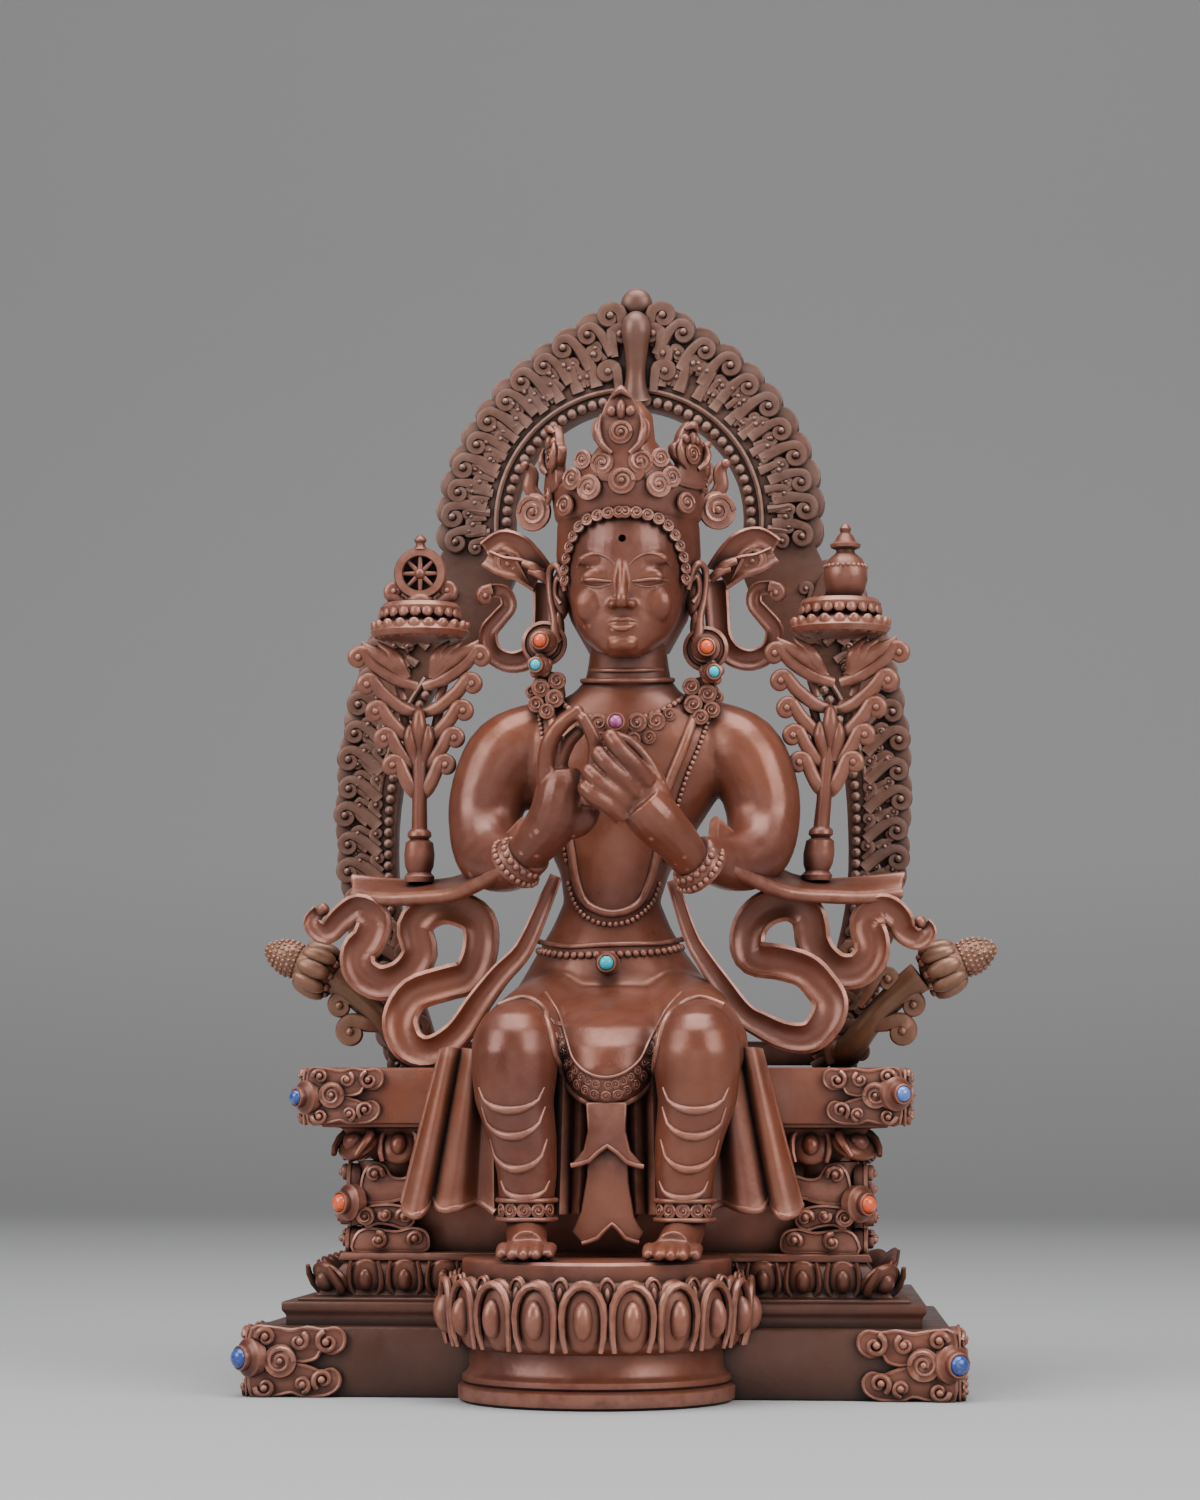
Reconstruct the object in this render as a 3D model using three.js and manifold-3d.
// Seated Maitreya figure of cast copper on a tiered throne, with a pierced aureole and two shoulder flowers.
// Millimetres, +Z up, front towards -Y. The origin is the centre of the base block's underside.
import * as THREE from "three";
import { mergeVertices } from "three/addons/utils/BufferGeometryUtils.js";
import Module from "manifold-3d";

const wasm = await Module();
wasm.setup();

// Driving dimensions
const GAP = 0.3; // clearance between separate castings
const BASE = { half: 61.8, front: -33.8, back: 33, height: 12.4 };
const STEP = { half: 57.2, top: 16.6 };
const LEDGE = { half: 47.8, bottom: 23.6, top: 25.1 };
const WAIST = { half: 37.5, columnHalf: 46, front: -24, top: 41 };
const SEAT = { half: 52.6, front: -30, bottom: 48, top: 58 };
const BACK_TAPER = 0.95; // the throne is a little narrower behind
const PETAL_PITCH = 6.9;
const SIDE_PITCH = 1.6; // the petals of the plainer sides are wider by this much
const FOOTREST = { x: -0.6, y: -34, lotus: 27.8, neck: 23, ring: 24.4, petals: 20, top: 24.9 };
const LEGS = [
  { side: -1, hip: -9, knee: -14.5, ankle: -12.4, toe: -11.2, outer: -34.8 },
  { side: 1, hip: 10.5, knee: 17.4, ankle: 15.4, toe: 13.9, outer: 35.2 },
];
const KNEE = { y: -40, z: 60.5, radius: 8.7 };
const ANKLE = { y: -42, z: 31.5, radius: 4.3 };
const SHIN = { low: 35.6, high: 54.4 }; // the folds of cloth hang between these heights
const TOES = -56.6;
const TORSO = { x: 0, belt: 79.6, waist: 88.5 };
const HEAD = { x: 2.4, y: -3, chin: 133.6, halfWidth: 11.3, halfDepth: 12.6 };
const CROWN = { band: 161, leafBase: 165, rx: 14.6, ry: 14 };
const LEAF_THICK = 2.2;
const PLATE = { front: 22.5, back: 27.5, bottom: SEAT.top + GAP };
const HALO = { x: 0.6, z: 163.6, radius: 22.3 };
const BEADING = 1.5; // half width of the raised beading round the opening
const TUFT_SPACING = 4.3;
const SCALLOP = { pitch: 6.3, depth: 1.5 };
const WHEEL_LOTUS = { x: -37, lean: 0, foot: 92.6, cup: 101, stem: 104, leaf: 136.8, top: 145 };
const VASE_LOTUS = { x: 37.3, lean: 5, foot: 92.6, cup: 100.5, stem: 104, leaf: 135.6, top: 145 };
const LIMB_SIDES = 7;
const SETTING_HEIGHT = 1.9;
const SCROLL_DEPTH = 1.2; // how far the corner scrolls stand out
const STONE_SIDES = 6;

// Colours
const COPPER = { color: 0x7d4a38, roughness: 0.42, metalness: 0.75 };
const DARK_COPPER = { color: 0x65402f, roughness: 0.5, metalness: 0.7 };
const LAPIS = { color: 0x2f4f96, roughness: 0.3, metalness: 0 };
const CRYSTAL = { color: 0x5d86c9, roughness: 0.1, metalness: 0 };
const CORAL = { color: 0xe0512c, roughness: 0.35, metalness: 0 };
const TURQUOISE = { color: 0x2fb4c8, roughness: 0.35, metalness: 0 };
const PINK = { color: 0x8d4a6b, roughness: 0.35, metalness: 0 };

// Stones: name, centre of the setting's foot, direction it faces, stone radius, colour
const STONES = [
  ["stone_base_left", [-62.4, -34.4, 6.9], [-1, -1, 0], 1.8, LAPIS],
  ["stone_base_right", [61.6, -34.6, 6.5], [0.7, -1, 0], 1.8, LAPIS],
  ["stone_seat_left", [-53.4, -29.6, 52.7], [-1, -1, 0], 1.4, LAPIS],
  ["stone_seat_right", [52.2, -30.6, 53.4], [0.7, -1, 0], 1.4, CRYSTAL],
  ["stone_waist_left", [-46, -25.6, 33.9], [-1, -1, 0], 1.6, CORAL],
  ["stone_waist_right", [45.6, -25.8, 33.9], [1, -1, 0], 1.6, CORAL],
  ["stone_earring_coral_left", [-12.9, -6, 137.1], [-0.3, -1, 0], 1.3, CORAL],
  ["stone_earring_coral_right", [16.9, -6, 135.6], [0.3, -1, 0], 1.3, CORAL],
  ["stone_earring_turquoise_left", [-13.7, -6.6, 132.5], [-0.3, -1, 0], 1.05, TURQUOISE],
  ["stone_earring_turquoise_right", [18.3, -6.6, 130.9], [0.3, -1, 0], 1.05, TURQUOISE],
  ["stone_wrist", [-17, -19.4, 94.4], [-0.5, -1, -0.35], 1.25, CORAL],
  ["stone_belt", [-0.4, -14.6, 77], [0, -1, 0], 1.3, TURQUOISE],
  ["stone_necklace", [1.2, -13, 121], [0, -1, 0.1], 1.25, PINK],
];

const vec = (x, y, z) => new THREE.Vector3(x, y, z);
const mix = (a, b, t) => a + (b - a) * t;

// A manifold solid from any closed three.js geometry
function solid(geometry) {
  const plain = geometry.clone();
  plain.deleteAttribute("normal");
  plain.deleteAttribute("uv");
  const merged = mergeVertices(plain, 1e-4);
  return new wasm.Manifold(
    new wasm.Mesh({
      numProp: 3,
      vertProperties: merged.attributes.position.array,
      triVerts: new Uint32Array(merged.index.array),
    }),
  );
}

const join = (...parts) => parts.flat(9).reduce((whole, part) => whole.add(part));

// A block between two opposite corners
function block(x0, x1, y0, y1, z0, z1) {
  const box = new THREE.BoxGeometry(x1 - x0, y1 - y0, z1 - z0);
  return solid(box.translate((x0 + x1) / 2, (y0 + y1) / 2, (z0 + z1) / 2));
}

// A skin through closed rings of equal length, with a fan at each end, turned outwards
function loft(rings) {
  const count = rings[0].length;
  const points = rings.flat();
  const faces = [];
  for (let r = 0; r + 1 < rings.length; r++) {
    for (let i = 0; i < count; i++) {
      const a = r * count + i;
      const b = r * count + ((i + 1) % count);
      faces.push([a, b, b + count], [a, b + count, a + count]);
    }
  }
  for (const r of [0, rings.length - 1]) {
    const middle = rings[r].reduce((sum, p) => sum.add(p), vec(0, 0, 0)).divideScalar(count);
    points.push(middle);
    for (let i = 0; i < count; i++) {
      const a = r * count + i;
      const b = r * count + ((i + 1) % count);
      faces.push(r === 0 ? [points.length - 1, b, a] : [points.length - 1, a, b]);
    }
  }
  const volume = faces.reduce(
    (sum, [a, b, c]) => sum + points[a].dot(points[b].clone().cross(points[c])),
    0,
  );
  if (volume < 0) faces.forEach((face) => face.reverse());
  const geometry = new THREE.BufferGeometry();
  const numbers = points.flatMap((p) => [p.x, p.y, p.z]);
  geometry.setAttribute("position", new THREE.Float32BufferAttribute(numbers, 3));
  geometry.setIndex(faces.flat());
  return solid(geometry);
}

// A horizontal ring: an ellipse of the given half sizes
function oval(x, y, z, rx, ry, sides) {
  return Array.from({ length: sides }, (_, i) => {
    const turn = ((i + 0.5) / sides) * 2 * Math.PI;
    return vec(x + rx * Math.cos(turn), y + ry * Math.sin(turn), z);
  });
}

// A body through stations [x, y, z, half width, half depth] along Z
function column(stations, sides = LIMB_SIDES) {
  return loft(stations.map(([x, y, z, rx, ry]) => oval(x, y, z, rx, ry, sides)));
}

// A limb or ribbon along a smooth path of stations [x, y, z, a, b]: a is half its size across, b is half its
// size along the side direction. Four sides give a flat ribbon, more give a rounded limb.
function sweep(stations, steps, sides = LIMB_SIDES, side = vec(0, 1, 0)) {
  const path = new THREE.CatmullRomCurve3(stations.map(([x, y, z]) => vec(x, y, z)));
  const rings = [];
  for (let s = 0; s <= steps; s++) {
    const t = s / steps;
    const place = path.getPoint(t);
    const along = path.getTangent(t);
    const across = side.clone().cross(along).normalize();
    const beside = along.clone().cross(across).normalize();
    const at = t * (stations.length - 1);
    const low = Math.min(Math.floor(at), stations.length - 2);
    const a = mix(stations[low][3], stations[low + 1][3], at - low);
    const b = mix(stations[low][4], stations[low + 1][4], at - low);
    const corner = sides === 4 ? Math.SQRT2 : 1;
    rings.push(
      Array.from({ length: sides }, (_, i) => {
        const turn = ((i + 0.5) / sides) * 2 * Math.PI;
        return place
          .clone()
          .addScaledVector(across, a * corner * Math.cos(turn))
          .addScaledVector(beside, b * corner * Math.sin(turn));
      }),
    );
  }
  return loft(rings);
}

// A round body about an axis through a place, from a profile of [radius, distance along the axis]
function turned(profile, place, axis, sides) {
  const outline = profile.map(([r, h]) => new THREE.Vector2(r, h));
  const geometry = new THREE.LatheGeometry(outline, sides);
  const turn = new THREE.Quaternion().setFromUnitVectors(vec(0, 1, 0), axis.clone().normalize());
  geometry.applyQuaternion(turn);
  return solid(geometry.translate(place.x, place.y, place.z));
}

// A low boss that stands for a scroll's curled end: a disc with a raised eye
function curl(place, axis, radius, height) {
  const profile = [
    [0, -height],
    [radius, -height],
    [radius * 0.85, height * 0.6],
    [0, height],
  ];
  return turned(profile, place, axis, 5);
}

// A ball squashed to three half sizes
function ball(x, y, z, rx, ry, rz, columns = 8, rows = 5) {
  const sphere = new THREE.SphereGeometry(1, columns, rows).rotateX(Math.PI / 2);
  return solid(sphere.scale(rx, ry, rz).translate(x, y, z));
}

// A flat plate standing in XZ from an outline, with holes, between two depths
function plate(outline, front, back, holes = []) {
  const shape = new THREE.Shape(outline.map((p) => new THREE.Vector2(p.x, p.z)));
  shape.holes = holes.map((hole) => new THREE.Path(hole.map((p) => new THREE.Vector2(p.x, p.z))));
  const geometry = new THREE.ExtrudeGeometry(shape, { depth: back - front, bevelEnabled: false });
  return solid(geometry.rotateX(Math.PI / 2).translate(0, back, 0));
}

// Throne: rectangles stacked as mouldings; the inset in depth is half the inset in width
function rectangle(half, z) {
  const inset = (BASE.half - half) * 0.5;
  const front = BASE.front + inset;
  const back = BASE.back - inset;
  const behind = half * BACK_TAPER;
  return [vec(-half, front, z), vec(half, front, z), vec(behind, back, z), vec(-behind, back, z)];
}

// A moulding of hanging or rising petals: a lobe for each petal and a notch between petals, plain at the
// back. Every level keeps the count of the first, so the rings match.
function lotusBand(levels) {
  const depthMiddle = (BASE.front + BASE.back) / 2;
  const [reference] = levels[0];
  const corners = rectangle(reference, 0);
  const rings = levels.map(([half, z, notch]) => {
    const scale = half / reference;
    const ring = corners.flatMap((from, i) => {
      const to = corners[(i + 1) % corners.length];
      if (from.y > 0 && to.y > 0) return [from.clone()];
      const pitch = from.y === to.y ? PETAL_PITCH : PETAL_PITCH * SIDE_PITCH;
      const lobes = Math.round(from.distanceTo(to) / pitch);
      const inward = vec(0, depthMiddle, 0).sub(from.clone().lerp(to, 0.5)).normalize();
      return Array.from({ length: lobes * 2 }, (_, k) =>
        from.clone().lerp(to, k / 2 / lobes).addScaledVector(inward, k % 2 ? notch : 0),
      );
    });
    return ring.map((p) => vec(p.x * scale, mix(depthMiddle, p.y, scale), z));
  });
  return loft(rings);
}

// Cloud scrolls round one front corner, on the front face and on the side face
function cornerScroll(side, half, front, bottom, top, width) {
  const height = top - bottom;
  const eyes = [
    [0.34, 0.45, 0.26],
    [0.22, 0.82, 0.18],
    [0.82, 0.46, 0.24],
  ];
  const cloud = [
    [0, 0.02],
    [0.9, 0.02],
    [1, 0.28],
    [0.72, 0.46],
    [1.02, 0.62],
    [0.9, 0.98],
    [0, 0.98],
  ].map(([u, v]) => [u * width, bottom + v * height]);
  const edge = cloud.map(([along, z]) => vec(side * (half - along), 0, z));
  const face = plate(side < 0 ? edge : edge.reverse(), front - SCROLL_DEPTH, front + 1);
  const shape = new THREE.Shape(cloud.map(([along, z]) => new THREE.Vector2(along * 0.9, z)));
  const thick = new THREE.ExtrudeGeometry(shape, { depth: SCROLL_DEPTH + 1, bevelEnabled: false });
  const sideways = new THREE.Matrix4().makeBasis(vec(0, 1, 0), vec(0, 0, 1), vec(1, 0, 0));
  const start = side < 0 ? -half - SCROLL_DEPTH : half - 1;
  const flank = solid(thick.applyMatrix4(sideways).translate(start, front, 0));
  const discs = eyes.map(([u, v, r]) => {
    const place = vec(side * (half - u * width), front - SCROLL_DEPTH, bottom + v * height);
    return curl(place, vec(0, -1, 0), r * height, 0.9);
  });
  const [[u, v, r]] = eyes;
  const flankPlace = vec(side * (half + SCROLL_DEPTH), front + u * width * 0.9, bottom + v * height);
  return join(face, flank, discs, curl(flankPlace, vec(side, 0, 0), r * height, 0.9));
}

// Scroll column at a front corner of the waist
function waistColumn(side) {
  const bulge = [2.2, 0.2, 1.8, 0.2, 2.4];
  const low = LEDGE.top - 0.4;
  const rings = bulge.map((out, i) => {
    const z = mix(low, WAIST.top + 0.6, i / (bulge.length - 1));
    const x0 = side * (WAIST.half - 2 - out * 0.4);
    const x1 = side * (WAIST.columnHalf - 2.2 + out);
    const y0 = WAIST.front - out;
    const y1 = WAIST.front + 9 + out;
    return [vec(x0, y0, z), vec(x1, y0, z), vec(x1, y1, z), vec(x0, y1, z)];
  });
  const eyes = [28.4, 33.2, 38].map((z, i) => {
    const x = side * mix(WAIST.half, WAIST.columnHalf, i % 2 ? 0.25 : 0.65);
    return curl(vec(x, WAIST.front - 1.4, z), vec(0, -1, 0), 2.1, 1.2);
  });
  return join(loft(rings), eyes);
}

function footrest() {
  const ring = (radius, z, notch) => {
    const count = FOOTREST.petals * 2;
    return Array.from({ length: count }, (_, i) => {
      const turn = (i / count) * 2 * Math.PI;
      const r = i % 2 ? radius - notch : radius;
      return vec(FOOTREST.x + r * Math.sin(turn), FOOTREST.y - r * Math.cos(turn), z);
    });
  };
  const lotus = loft([
    ring(FOOTREST.neck + 1, 9.4, 0.6),
    ring(FOOTREST.lotus, 13.6, 1.5),
    ring(FOOTREST.lotus - 0.2, 19, 1.5),
    ring(FOOTREST.lotus - 1.4, 22.4, 3),
  ]);
  const body = turned(
    [
      [0, 0],
      [FOOTREST.ring, 0],
      [FOOTREST.ring, 3.4],
      [FOOTREST.neck + 0.2, 5],
      [FOOTREST.neck - 0.3, 9.6],
      [FOOTREST.neck + 0.8, FOOTREST.top],
      [0, FOOTREST.top],
    ],
    vec(FOOTREST.x, FOOTREST.y, 0),
    vec(0, 0, 1),
    20,
  );
  return join(lotus, body);
}

function throne() {
  const core = loft([
    rectangle(BASE.half, 0),
    rectangle(BASE.half, BASE.height),
    rectangle(STEP.half, BASE.height),
    rectangle(STEP.half, STEP.top),
    rectangle(LEDGE.half - 1, STEP.top),
    rectangle(LEDGE.half - 1, LEDGE.bottom),
    rectangle(LEDGE.half, LEDGE.bottom),
    rectangle(LEDGE.half - 0.6, LEDGE.top),
    rectangle(WAIST.half, LEDGE.top),
    rectangle(WAIST.half, WAIST.top),
    rectangle(WAIST.half + 2, WAIST.top),
    rectangle(SEAT.half - 5, SEAT.bottom),
    rectangle(SEAT.half, SEAT.bottom),
    rectangle(SEAT.half, SEAT.top),
  ]);
  const lower = lotusBand([
    [54, STEP.top, 1.4],
    [52.4, 20.4, 1.7],
    [LEDGE.half - 0.8, LEDGE.bottom, 0.6],
  ]);
  const upper = lotusBand([
    [43.5, WAIST.top, 1],
    [50.4, SEAT.bottom, 1.5],
  ]);
  const corners = [-1, 1].flatMap((side) => [
    cornerScroll(side, BASE.half, BASE.front, 0, BASE.height, 16.5),
    cornerScroll(side, SEAT.half, SEAT.front, SEAT.bottom, SEAT.top, 13),
    waistColumn(side),
  ]);
  return join(core, lower, upper, corners, footrest(), settings(/base|seat|waist/));
}

// Figure: body, limbs, cloth, jewellery and scarf
function torso() {
  return column(
    [
      [TORSO.x, 0, 64, 19, 13],
      [TORSO.x - 0.4, -1, 76, 15.8, 11.8],
      [TORSO.x - 0.6, -1, TORSO.belt + 2, 12.6, 9.6],
      [TORSO.x - 0.5, -1, TORSO.waist, 9.4, 8],
      [TORSO.x + 0.2, -1, 99, 11.5, 8.6],
      [TORSO.x + 0.8, -1, 110, 17.5, 10.4],
      [TORSO.x + 1.4, -0.5, 119, 21, 10.2],
      [TORSO.x + 1.8, 0.5, 125, 17.6, 8.6],
      [HEAD.x, 0, 129.6, 9.6, 7.2],
      [HEAD.x, -1.5, 139, 6.8, 6.6],
    ],
    10,
  );
}

function head() {
  const { x, y, chin, halfWidth, halfDepth } = HEAD;
  const face = column(
    [
      [x, y - 6, chin, 2.6, 2.6],
      [x, y - 4.4, chin + 1.8, 6, 6.2],
      [x, y - 2.4, chin + 6, halfWidth * 0.84, halfDepth * 0.78],
      [x, y - 1, chin + 12, halfWidth * 0.98, halfDepth * 0.94],
      [x, y, chin + 20, halfWidth, halfDepth],
      [x, y, chin + 29, halfWidth * 0.97, halfDepth * 0.95],
    ],
    12,
  );
  const hair = column(
    [
      [x, y + 5, chin + 8, halfWidth * 0.9, 8],
      [x, y + 4.4, chin + 18, halfWidth + 2, halfDepth - 1],
      [x, y + 2, chin + 27, halfWidth + 2.2, halfDepth + 0.2],
      [x, y + 2, chin + 36, 6, 6],
      [x, y + 3, chin + 44, 5.4, 5.4],
      [x, y + 3, chin + 48.5, 2.4, 2.4],
    ],
    8,
  );
  const brow = y - halfDepth + 0.2;
  const nose = loft(
    [
      [0.7, 0.8, 16.5, -0.5, 16.5],
      [2.2, 1.6, 8.4, -2.1, 8.9],
      [1.4, 1.8, 7.8, -0.4, 7.9],
    ].map(([wing, behind, low, ridge, ridgeHeight]) => [
      vec(x - wing, brow + behind, chin + low),
      vec(x + wing, brow + behind, chin + low),
      vec(x, brow + ridge, chin + ridgeHeight),
    ]),
  );
  const lips = ball(x, brow + 1.4, chin + 5, 2.9, 1.4, 1.1, 6, 3);
  const lids = [-1, 1].map((s) => ball(x + s * 4.6, brow + 1.7, chin + 14.2, 2.9, 1.4, 1.5, 6, 3));
  const ears = [-1, 1].map((s) =>
    sweep(
      [
        [x + s * 11.9, y + 0.6, chin + 17, 1, 1],
        [x + s * 12.4, y + 0.2, chin + 13, 1.8, 2.4],
        [x + s * 12.6, y - 0.4, chin + 7, 1.4, 1.8],
        [x + s * 13.6, y - 1.6, chin + 3, 1.6, 1.4],
      ],
      3,
      4,
    ),
  );
  const forehead = turned(
    [
      [0, -2],
      [0.65, -2],
      [0.65, 2],
      [0, 2],
    ],
    vec(x, y - halfDepth, chin + 21),
    vec(0, 1, 0),
    6,
  );
  return join(face, hair, nose, lips, lids, ears).subtract(forehead);
}

// Crown: a band with five leaves, each a pointed plate with curled bosses
function crown() {
  const { x, y } = HEAD;
  const ring = (z, grow) => oval(x, y + 1.6, z, CROWN.rx + grow, CROWN.ry + grow, 10);
  const band = loft([ring(CROWN.band - 3, -2), ring(CROWN.band, -0.9), ring(CROWN.leafBase, 0.2)]);
  const leaf = (turn, width, height, lean, curls) => {
    const out = vec(Math.sin(turn), -Math.cos(turn), 0);
    const across = vec(Math.cos(turn), Math.sin(turn), 0);
    const foot = vec(x, y + 1.6, 0).add(vec(out.x * CROWN.rx, out.y * CROWN.ry, CROWN.leafBase - 2));
    const at = (u, v, w) => {
      const place = foot.clone().addScaledVector(across, u * width);
      return place.addScaledVector(out, lean * v + w).setZ(foot.z + v * height);
    };
    const outline = [
      [-0.5, 0],
      [0.5, 0],
      [0.6, 0.34],
      [0.28, 0.56],
      [0, 1],
      [-0.28, 0.56],
      [-0.6, 0.34],
    ];
    const blade = loft([0.5, 0.5 - LEAF_THICK].map((w) => outline.map(([u, v]) => at(u, v, w))));
    const eyes = [
      [0, 0.56, 0.24],
      [0, 0.2, 0.24],
    ].map(([u, v, r]) => curl(at(u, v, 0.5), out, r * width, 0.8));
    return [blade, eyes.slice(0, curls)];
  };
  const leaves = [
    leaf(0, 10, 20.5, 1, 2),
    leaf(-0.86, 9, 14, 1.6, 1),
    leaf(0.86, 9, 14, 1.6, 1),
    leaf(-1.62, 7.5, 12, 1.4, 0),
    leaf(1.62, 7.5, 12, 1.4, 0),
  ];
  const scrolls = [-1, 1].map((s) => curl(vec(x + s * 17, y + 1, 162.4), vec(0, -1, 0), 3.4, 1.5));
  return join(band, leaves, scrolls);
}

// Ribbons tied behind the ears: a fan above the knot and a tail that turns up again in a hook
function earRibbon(s) {
  const at = (x, z) => [HEAD.x + s * x, 4, z];
  const fan = ball(...at(19.2, 154.2), 6.2, 1.8, 4.8, 7, 3);
  const tail = sweep(
    [
      [...at(13.5, 152), 2.2, 1.6],
      [...at(16.4, 144), 2.6, 1.6],
      [...at(18.4, 136), 3, 1.6],
      [...at(23.2, 134.2), 2.8, 1.6],
      [...at(25, 138.6), 2.4, 1.6],
      [...at(22.4, 143), 2, 1.6],
      [...at(25.2, 147.4), 1.8, 1.6],
      [...at(29, 147), 1, 1.4],
    ],
    10,
    4,
  );
  const ornament = [
    curl(vec(HEAD.x + s * 15.2, -4.4, 137), vec(0, -1, 0), 3.9, 2.4),
    ball(HEAD.x + s * 15.2, -4, 130.6, 3.6, 3.2, 4.4, 6, 3),
  ];
  return [fan, tail, ornament];
}

function arm(s) {
  const x = TORSO.x + 1.6;
  const lift = s < 0 ? 0.6 : 0;
  return [
    sweep(
      [
        [x + s * 15, 0.6, 121.4, 6, 7.4],
        [x + s * 21.8, 0, 116, 8.4, 8.4],
        [x + s * 26, -1.6, 104, 7.6, 8],
        [x + s * 25.6, -6, 95.6, 6.6, 6.6],
        [x + s * 20, -14, 94.2 + lift, 5.6, 5.6],
        [x + s * 14.6, -21, 97.6 + lift, 3.6, 3.6],
      ],
      6,
      LIMB_SIDES,
    ),
    // sleeve cloth that runs out sideways and carries the flower's foot
    sweep(
      [
        [x + s * 17, -13, 103, 2, 4.4],
        [x + s * 23.6, -9, 95, 2, 6],
        [x + s * 31, -5, 90.6, 1.9, 7],
        [x + s * 39, -1, 90.4, 1.8, 6],
        [x + s * 51, 4.4, 92, 1, 2.2],
      ],
      5,
      4,
    ),
  ];
}

// The low bosses of the sleeves on which the flowers stand
function flowerSeats() {
  return [WHEEL_LOTUS, VASE_LOTUS].map(({ x, foot }) => {
    const profile = [
      [0, -3],
      [3.6, -3],
      [2.8, -GAP],
      [0, -GAP],
    ];
    return turned(profile, vec(x, 0, foot), vec(0, 0, 1), 7);
  });
}

// Hands in the teaching gesture
function hands() {
  const finger = (points, r) => {
    const taper = (i) => r * (1 - 0.06 * i);
    return sweep(points.map((p, i) => [...p, taper(i), taper(i)]), 2, 4);
  };
  const openHand = [
    sweep(
      [
        [-13.4, -22, 98.4, 3.2, 3],
        [-9.8, -24.6, 102.8, 4.4, 2.8],
        [-6.6, -26, 108, 4.8, 2.5],
        [-6, -26, 112.6, 4, 2],
      ],
      3,
      6,
    ),
    finger([[-9, -26.6, 111.6], [-8.6, -27.6, 116], [-6.6, -27.6, 119.8], [-3.4, -28, 122.6]], 1.55),
    finger([[-5.4, -27, 112.4], [-4.4, -29.4, 116.6], [-2, -30, 119]], 1.7),
    finger([[-3, -26, 108], [-0.4, -29, 111.6], [0.4, -30, 115]], 1.5),
  ];
  const roots = [[7.4, 108.6], [5.6, 106], [3.6, 103.6], [1.8, 101.4]];
  const tips = [[1.8, 116.6], [-0.8, 113.6], [-2.4, 110.2], [-3.2, 106.4]];
  const closedHand = [
    sweep(
      [
        [15.8, -23, 97, 3.2, 3],
        [12, -26, 100.6, 4.4, 3],
        [7.4, -28.4, 104.6, 5, 3],
        [4.4, -29.4, 106.4, 4.4, 2.6],
      ],
      3,
      6,
    ),
    roots.map(([x, z], i) => {
      const [tx, tz] = tips[i];
      return finger([[x, -29.4, z], [mix(x, tx, 0.6), -32, mix(z, tz, 0.66)], [tx, -31, tz]], 1.75);
    }),
  ];
  return [openHand, closedHand];
}

function leg({ hip, knee, ankle, toe }) {
  const thigh = sweep(
    [
      [hip, 2, 66, 9, 9.6],
      [mix(hip, knee, 0.5), -16, 64.6, 9, 9],
      [knee, -36, KNEE.z + 0.8, 8.6, 8.2],
      [knee, KNEE.y - 3.5, KNEE.z, 5.6, 5.6],
    ],
    4,
    LIMB_SIDES,
    vec(1, 0, 0),
  );
  const bulge = [0, 1, 0, 1, 0];
  const folded = bulge.map((out, i) => {
    const t = i / (bulge.length - 1);
    const z = mix(SHIN.low, SHIN.high, t);
    const x = mix(ankle, knee, (z - ANKLE.z) / (KNEE.z - ANKLE.z));
    const r = mix(6.1, 8.2, t) + out;
    return oval(x, KNEE.y - 0.4, z, r, r, LIMB_SIDES).map((p) => p.setZ(z + 1.6 + 0.36 * (p.y - KNEE.y)));
  });
  const shin = loft([
    oval(ankle, ANKLE.y, 27.4, 4.2, 4.4, LIMB_SIDES),
    oval(ankle, ANKLE.y, ANKLE.z, ANKLE.radius, ANKLE.radius, LIMB_SIDES),
    ...folded,
    oval(knee, KNEE.y - 0.2, KNEE.z, KNEE.radius, KNEE.radius, LIMB_SIDES),
    oval(knee, KNEE.y + 0.6, 66.4, 7, 6.6, LIMB_SIDES),
    oval(knee, KNEE.y + 2, 69.2, 3.6, 3.4, LIMB_SIDES),
  ]);
  const foot = loft(
    [
      [-36, 2.6, 26.2, 1.5],
      [-40, 3.6, 27.4, 2.9],
      [-46, 4.2, 27, 2.5],
      [-52.6, 5.6, 26.1, 1.4],
      [TOES, 4.6, 25.8, 0.9],
    ].map(([y, w, z, h]) =>
      Array.from({ length: 6 }, (_, i) => {
        const turn = (i / 6) * 2 * Math.PI;
        const x = mix(ankle, toe, (y - ANKLE.y) / (TOES - ANKLE.y));
        return vec(x + w * Math.cos(turn), y, z + h * Math.sin(turn));
      }),
    ),
  );
  return [thigh, shin, foot];
}

// A hanging panel with vertical pleats, wider below; edges are [x, y, z] at its top and bottom corners
function pleated(topLeft, topRight, bottomLeft, bottomRight, folds, thick, depth) {
  const rings = [0, 1].map((t) => {
    const row = Array.from({ length: folds * 2 + 1 }, (_, i) => {
      const u = i / (folds * 2);
      const top = vec(...topLeft).lerp(vec(...topRight), u);
      const bottom = vec(...bottomLeft).lerp(vec(...bottomRight), u);
      return top.lerp(bottom, t).add(vec(0, i % 2 ? depth * (0.3 + 0.7 * t) : 0, 0));
    });
    const behind = [row[row.length - 1], row[0]].map((p) => p.clone().add(vec(0, thick, 0)));
    return [...row, ...behind];
  });
  return loft(rings);
}

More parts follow.
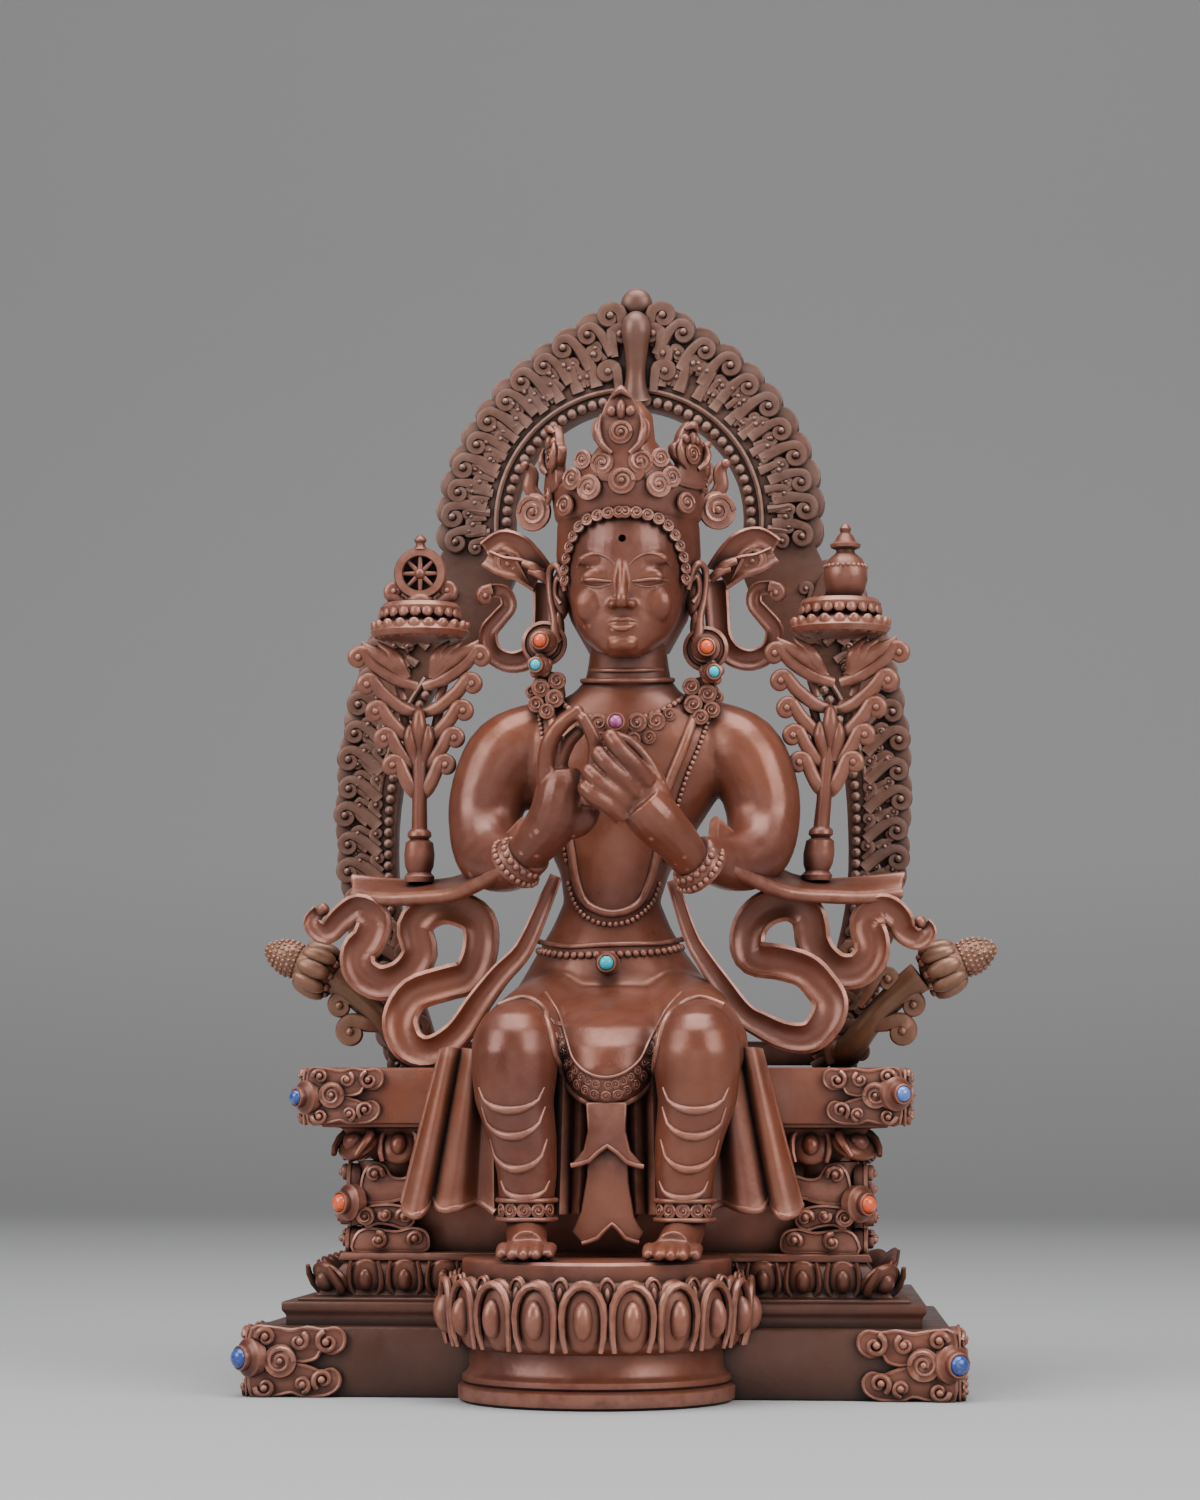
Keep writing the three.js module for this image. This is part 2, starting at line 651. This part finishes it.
function skirts() {
  const sides = LEGS.map(({ side, knee, outer }) => {
    const inner = knee + side * 5;
    const panel = [
      [inner, -38, 64],
      [side * 31, -33, 61.5],
      [inner - side, -41, 33],
      [outer, -37.5, 32.4],
    ];
    const [tl, tr, bl, br] = side < 0 ? [panel[1], panel[0], panel[3], panel[2]] : panel;
    return pleated(tl, tr, bl, br, 3, 3.4, 1.6);
  });
  const curtain = pleated([-8, -35, 60], [12, -35, 60], [-9, -36, 30], [12, -36, 30], 2, 3, 1.4);
  const sash = [
    pleated([-2.6, -39, 54], [6, -39, 54], [-7.4, -41, 42.5], [8.6, -41, 42.5], 2, 2.6, 1.2),
    pleated([-1, -40, 44], [4.6, -40, 44], [-4.6, -42, 31.6], [8, -42, 30.4], 2, 2.6, 1.2),
  ];
  const apron = sweep(
    [
      [-12, -40, 69.4, 2.4, 2.2],
      [-6.5, -41.4, 61, 3.4, 1.8],
      [1.5, -42, 55.4, 4.8, 1.6],
      [9.8, -41.4, 61, 3.4, 1.8],
      [15, -40, 69.4, 2.4, 2.2],
    ],
    8,
    4,
  );
  const lap = loft(
    [
      [6, 20, 58, 72],
      [-8, 20, 58, 76],
      [-16, 19, 58, 71.6],
      [-28, 19, 58, 67],
      [-40, 16, 57.4, 62.6],
    ].map(([y, w, low, high]) => [
      vec(0.8 - w, y, low),
      vec(0.8 + w, y, low),
      vec(0.8 + w * 0.8, y, mix(low, high, 0.7)),
      vec(0.8 + w * 0.4, y, high),
      vec(0.8 - w * 0.4, y, high),
      vec(0.8 - w * 0.8, y, mix(low, high, 0.7)),
    ]),
  );
  return [sides, curtain, sash, apron, lap];
}

// Scarf on one side: an outer hook, a loop under the arm and a lower loop, then a ribbon up to the wrist
function scarf(s) {
  const x = (value) => -0.3 + s * value;
  return sweep(
    [
      [x(57), 2, 84.6, 0.9, 1.6],
      [x(54), 1, 83.6, 1.6, 2.2],
      [x(50), 0, 86, 2, 2.6],
      [x(46), -1, 84.4, 2.2, 2.8],
      [x(46.6), -2, 77.8, 2.8, 3],
      [x(41.2), -3, 74.8, 3.2, 3.2],
      [x(36.4), -4, 80, 3.2, 3.2],
      [x(32.6), -5, 85.4, 3.2, 3.4],
      [x(27), -6, 84, 3.4, 3.4],
      [x(26.4), -7, 78, 3.2, 3.4],
      [x(32.4), -8, 74, 3.2, 3.2],
      [x(37), -10, 69.2, 3.2, 3.2],
      [x(35), -12, 64.2, 3, 3],
      [x(29), -14, 65.4, 2.8, 2.8],
      [x(24), -15, 70, 2, 2.4],
      [x(18.6), -14, 77.4, 1.5, 2.2],
      [x(15), -15, 86, 1.2, 2],
      [x(15.4), -17, 95, 1, 1.8],
    ],
    23,
    4,
  );
}

function jewellery() {
  const arc = (points, r, steps = 5) => sweep(points.map((p) => [...p, r, r]), steps, 3);
  const belt = loft([-1.3, 1.3].map((up) => oval(TORSO.x - 0.8, -1, TORSO.belt + up, 14, 11.2, 10)));
  const clasp = curl(vec(-0.6, -13.4, 77.4), vec(0, -1, 0), 3.6, 1.8);
  const collar = arc(
    [
      [-12, -6, 129],
      [-7, -10.2, 124.6],
      [1.4, -12, 122.2],
      [9.8, -10.2, 124.6],
      [15, -6, 129],
    ],
    1.1,
  );
  const pendant = curl(vec(1.2, -12, 120.6), vec(0, -1, 0), 2.9, 1.6);
  const chains = [-1, 1].map((s) =>
    arc(
      [
        [HEAD.x + s * 12.6, -5, 128],
        [HEAD.x + s * 10.6, -11.4, 116],
        [HEAD.x + s * 9, -11, 104],
        [s * 5.4, -9.6, 93],
        [-0.4, -10.4, 87.6],
      ],
      0.9,
      4,
    ),
  );
  return [belt, clasp, collar, pendant, chains];
}

// Everything that the seat and the footrest hold up is cut clear of them
function figure() {
  const body = join(
    torso(),
    head(),
    crown(),
    [-1, 1].flatMap((s) => [earRibbon(s), arm(s), scarf(s)]),
    flowerSeats(),
    hands(),
    LEGS.map(leg),
    skirts(),
    jewellery(),
    settings(/earring|wrist|belt|necklace/),
  );
  const far = 90;
  const seatSpace = block(-far, far, SEAT.front - GAP, far, -1, SEAT.top + GAP);
  const floorSpace = block(-far, far, -far, far, -1, FOOTREST.top + GAP);
  return body.subtract(seatSpace).subtract(floorSpace);
}

// Aureole: outline stations from the seat up to the tip, mirrored, then scalloped
const leanOf = (z) => (z > 105 ? 0.027 * (z - 105) - 0.9 : -0.9);

function scalloped(points) {
  const curve = new THREE.CatmullRomCurve3(points);
  const count = Math.round(curve.getLength() / SCALLOP.pitch);
  const edge = [];
  for (let k = 0; k < count; k++) {
    const [a, b] = [curve.getPointAt(k / count), curve.getPointAt((k + 1) / count)];
    const out = vec(a.z - b.z, 0, b.x - a.x).normalize();
    edge.push(a);
    edge.push(a.clone().lerp(b, 0.5).addScaledVector(out, SCALLOP.depth));
  }
  return edge;
}

function mirrored(half) {
  const right = half.map(([x, z]) => vec(leanOf(z) + x, 0, z));
  const left = half.map(([x, z]) => vec(leanOf(z) - x, 0, z)).reverse();
  return { right, left };
}

function aureoleOutline() {
  const body = mirrored([
    [44, PLATE.bottom],
    [49, 76],
    [53.4, 94],
    [54.4, 110],
    [53.4, 125],
    [50, 138],
    [46, 148.6],
    [37.6, 155.6],
  ]);
  const halo = mirrored([
    [36.2, 158.4],
    [36.4, 169],
    [32.6, 180],
    [25.6, 190.4],
    [17, 198],
    [7, 204.6],
  ]);
  const tip = [vec(5.6, 0, 206), vec(3.8, 0, 209.4), vec(2, 0, 210), vec(0.2, 0, 209.2), vec(-1.6, 0, 206)];
  return [
    ...scalloped(body.right.slice().reverse()).reverse(),
    ...scalloped(halo.right.slice().reverse()).reverse(),
    ...tip,
    ...scalloped(halo.left.slice().reverse()).reverse(),
    ...scalloped(body.left.slice().reverse()).reverse(),
  ];
}

function aureoleOpening() {
  const halo = Array.from({ length: 17 }, (_, i) => {
    const turn = mix(-0.35, Math.PI + 0.35, i / 16);
    return vec(HALO.x + HALO.radius * Math.cos(turn), 0, HALO.z + HALO.radius * Math.sin(turn));
  });
  const body = mirrored([
    [36, 63],
    [40.6, 78],
    [43.4, 92],
    [43.4, 108],
    [41, 122],
    [36.6, 132],
    [31.4, 138],
    [24.6, 147],
  ]);
  return [...body.right, ...halo, ...body.left];
}

// Side bud: a stem that leans out to a petal cup and a pebbled bud, with curled leaves under it
function sideBud(s) {
  const x = (value) => 1 + s * value;
  const out = vec(s * 0.8, 0, 0.42).normalize();
  const stem = sweep(
    [
      [x(41), 18, 62.4, 3.4, 3.4],
      [x(42), 12, 62, 3, 3],
      [x(46), 9, 67, 2.8, 2.8],
      [x(52), 8.4, 73, 3, 3],
      [x(57), 8, 76, 3.4, 3.4],
    ],
    4,
    5,
  );
  const cup = turned(
    [
      [0, -1],
      [3.6, -0.6],
      [5.4, 2],
      [4.4, 6.2],
      [0, 6.6],
    ],
    vec(x(56.5), 8, 75.6),
    out,
    7,
  );
  const bud = turned(
    [
      [0, 5],
      [3.3, 6.4],
      [3.2, 9.4],
      [0, 12.6],
    ],
    vec(x(56.5), 8, 75.6),
    out,
    6,
  );
  const leaves = [
    ball(x(54.6), 8, 67.6, 5.4, 2.2, 3.4, 6, 3),
    ball(x(50.4), 8, 75.4, 3, 2.2, 3.4, 6, 3),
  ];
  const [from, to] = [x(37), x(44.6)].sort((a, b) => a - b);
  const foliage = block(from, to, 11, 24, PLATE.bottom, 65);
  return [stem, cup, bud, leaves, foliage];
}

function aureole() {
  const back = plate(aureoleOutline(), PLATE.front, PLATE.back, [aureoleOpening().reverse()]);
  const haloArc = Array.from({ length: 13 }, (_, i) => {
    const turn = mix(-0.3, Math.PI + 0.3, i / 12);
    const radius = HALO.radius + 2;
    return vec(HALO.x + radius * Math.cos(turn), 0, HALO.z + radius * Math.sin(turn));
  });
  const sides = mirrored([
    [44.6, 84],
    [45.6, 98],
    [45, 112],
    [42, 124],
    [37, 133],
  ]);
  const beading = [haloArc, sides.left, sides.right].map((points) => {
    const stations = points.map(({ x, z }) => [x, PLATE.front, z, BEADING, BEADING]);
    return sweep(stations, points.length - 1, 4);
  });
  const tufts = [];
  const tuftRow = (half, radius) => {
    for (const row of Object.values(mirrored(half))) {
      const curve = new THREE.CatmullRomCurve3(row);
      const count = Math.round(curve.getLength() / (radius * TUFT_SPACING));
      for (let k = 0; k <= count; k++) {
        const p = curve.getPointAt(k / count).setY(PLATE.front - 0.2);
        const profile = [
          [0, -1],
          [radius, -1],
          [0, 1.6],
        ];
        tufts.push(turned(profile, p, vec(0, -1, 0), 5));
      }
    }
  };
  const bodyRow = [
    [47.5, 72],
    [50.4, 94],
    [50.8, 112],
    [48.6, 126],
    [44.6, 139],
    [38.6, 149],
  ];
  const haloRow = [
    [30.6, 160],
    [30.8, 170],
    [27.6, 180],
    [21.4, 188.6],
    [12.4, 195.6],
    [8.5, 198],
  ];
  tuftRow(bodyRow, 2.8);
  tuftRow(haloRow, 3.2);
  const club = sweep(
    [
      [2, 22.6, 190, 2, 1.6],
      [2, 22, 196, 2.6, 1.8],
      [2, 22, 200, 3, 2],
      [2, 22.4, 203, 1.6, 1.4],
    ],
    4,
    6,
  );
  return join(back, beading, tufts, club, [-1, 1].map(sideBud));
}

// Shoulder flower: a footed stem, a sheaf of leaves and a double lotus that carries the emblem
function flower({ x, lean, foot, cup, stem, leaf, top }, emblem) {
  const lobed = (radius, z, notch) =>
    Array.from({ length: 10 }, (_, i) => {
      const turn = (i / 10) * 2 * Math.PI;
      const r = i % 2 ? radius - notch : radius;
      const middle = x + (lean * (z - foot)) / (top - foot);
      return vec(middle + r * Math.cos(turn), r * Math.sin(turn), z);
    });
  const body = loft([
    lobed(1.8, foot, 0),
    lobed(2.2, foot + 3, 0),
    lobed(3.4, cup, 0),
    lobed(1.9, cup + 0.8, 0),
    lobed(1.8, stem + 8, 0),
    lobed(4, mix(stem, leaf, 0.5), 1),
    lobed(10.4, leaf, 3),
    lobed(7.6, leaf + 1.2, 1),
    lobed(9.4, leaf + 3.2, 1),
    lobed(6.6, leaf + 5, 0.6),
    lobed(7.2, top, 0.6),
  ]);
  return join(body, emblem);
}

function wheelEmblem() {
  const { x, top } = WHEEL_LOTUS;
  const centre = vec(x, 0, top + 4.8);
  const disc = turned(
    [
      [0, -1.6],
      [1.4, -0.8],
      [3.6, -0.8],
      [3.8, -1.4],
      [5.2, -1.2],
      [5.2, 1.2],
      [0, 1.2],
    ],
    centre,
    vec(0, 1, 0),
    12,
  );
  const knobs = [
    ball(x, 0, centre.z + 6, 1.2, 1.2, 1.4, 5, 3),
    ...[-1, 1].map((s) => ball(x + s * 6.4, 0, top + 1.6, 3.4, 1.8, 2.4, 6, 3)),
  ];
  return [disc, knobs];
}

function vaseEmblem() {
  const { top, lean } = VASE_LOTUS;
  const x = VASE_LOTUS.x + lean + 0.5;
  const vase = turned(
    [
      [0, -0.4],
      [2.6, -0.4],
      [4.4, 4],
      [4.2, 6.6],
      [2.4, 8.6],
      [3.4, 9.4],
      [1.4, 12],
      [0, 13.2],
    ],
    vec(x, 0, top),
    vec(0, 0, 1),
    10,
  );
  const knobs = [-1, 1].map((s) => ball(x + s * 6, 0, top + 1.8, 3.8, 1.8, 2.4, 6, 3));
  return [vase, knobs];
}

// The flat-topped collar that carries a stone
function setting([, place, axis, radius]) {
  const profile = [
    [0, -2.6],
    [radius + 0.9, -2.6],
    [radius + 0.35, SETTING_HEIGHT],
    [0, SETTING_HEIGHT],
  ];
  return turned(profile, vec(...place), vec(...axis), STONE_SIDES);
}

const settings = (part) => STONES.filter(([name]) => part.test(name)).map(setting);

// A cabochon: flat behind, domed in front, just clear of its collar
function cabochon([, place, axis, radius]) {
  const foot = SETTING_HEIGHT + 0.05;
  const profile = [
    [0, foot],
    [radius, foot],
    [radius * 0.8, foot + radius * 0.55],
    [0, foot + radius * 0.85],
  ];
  return turned(profile, vec(...place), vec(...axis), STONE_SIDES);
}

const object = new THREE.Group();

function addPiece(name, piece, { color, roughness, metalness }) {
  const { vertProperties, triVerts } = piece.getMesh();
  const geometry = new THREE.BufferGeometry();
  geometry.setAttribute("position", new THREE.BufferAttribute(vertProperties, 3));
  geometry.setIndex(new THREE.BufferAttribute(triVerts, 1));
  geometry.computeVertexNormals();
  const mesh = new THREE.Mesh(geometry, new THREE.MeshStandardMaterial({ color, roughness, metalness }));
  mesh.name = name;
  object.add(mesh);
}

addPiece("throne", throne(), COPPER);
addPiece("figure", figure(), COPPER);
addPiece("aureole", aureole(), DARK_COPPER);
addPiece("wheel_lotus", flower(WHEEL_LOTUS, wheelEmblem()), COPPER);
addPiece("vase_lotus", flower(VASE_LOTUS, vaseEmblem()), COPPER);
STONES.forEach((stone) => addPiece(stone[0], cabochon(stone), stone[4]));

export default object;
